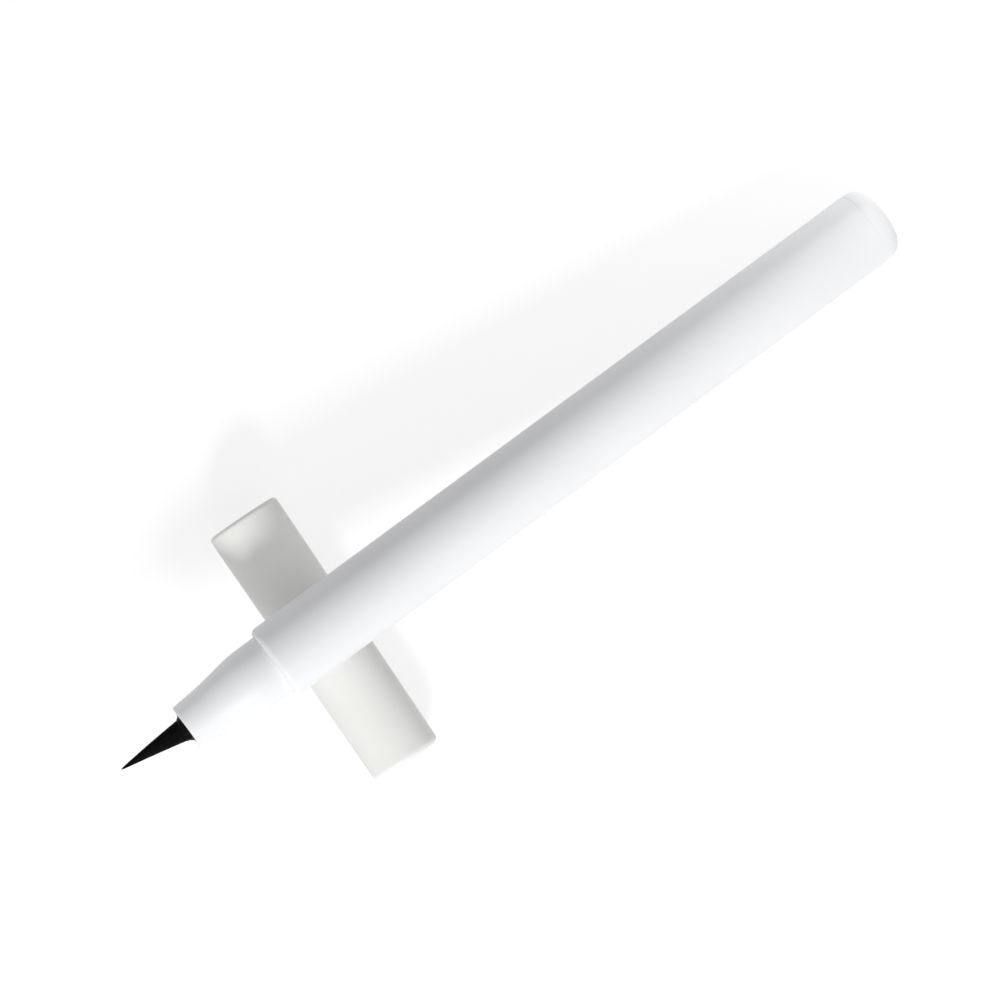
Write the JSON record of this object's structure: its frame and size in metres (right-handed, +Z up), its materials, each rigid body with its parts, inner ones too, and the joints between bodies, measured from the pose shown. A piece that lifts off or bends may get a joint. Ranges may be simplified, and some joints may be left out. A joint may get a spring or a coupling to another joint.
{
  "type": "liquid eyeliner pen",
  "caption": "Uncapped liquid eyeliner pen with a fine brush tip, resting across its own push-on cap.",
  "frame": {"origin": "middle of the bottom of the whole object, on the surface that cap and tail stand on", "axes": "+X along the pen towards the brush, +Y along the cap towards its closed end, +Z up"},
  "size_m": [0.1234, 0.0394, 0.0216],
  "materials": {
    "shell_plastic": "satin white moulded shell with a faint cool cast",
    "cap_plastic": "satin white moulded cap",
    "inner_plastic": "smooth natural white inner cap",
    "tank_plastic": "natural translucent tank",
    "collector_plastic": "fine moulded comb",
    "seal_rubber": "soft black seal",
    "steel": "bright stainless steel",
    "fibre": "bonded fibre rod soaked in ink",
    "holder_plastic": "black moulded holder, wet with ink at its lip",
    "bristles": "fine black bristles wet with ink"
  },
  "bodies": {
    "pen": {"barrel": "shell_plastic", "tail_plug": "shell_plastic", "ink_tank": "tank_plastic", "tank_plug": "tank_plastic", "tank_seal": "seal_rubber", "front_section": "shell_plastic", "section_ring": "seal_rubber", "collector": "collector_plastic", "ink_feed": "fibre", "brush_holder": "holder_plastic", "brush": "bristles"},
    "ball": {"mixing_ball": "steel"},
    "cap": {"cap_shell": "cap_plastic", "cap_spring": "steel"},
    "inner_cap": {"inner_cap": "inner_plastic"}
  },
  "joints": [
    {"name": "cap_pull", "type": "slide", "parent": "pen", "child": "cap", "axis": [0.0379, 0.9993, 0], "range_m": [0, 0.04]},
    {"name": "inner_cap_press", "type": "slide", "parent": "cap", "child": "inner_cap", "axis": [0.0379, 0.9993, -0.0047], "range_m": [0, 0.0012], "stiffness_N_per_m": 400, "deforming": ["cap_spring"]},
    {"name": "ball_roll", "type": "slide", "parent": "pen", "child": "ball", "axis": [0.9933, 0, 0.1159], "range_m": [0, 0.0518]}
  ]
}
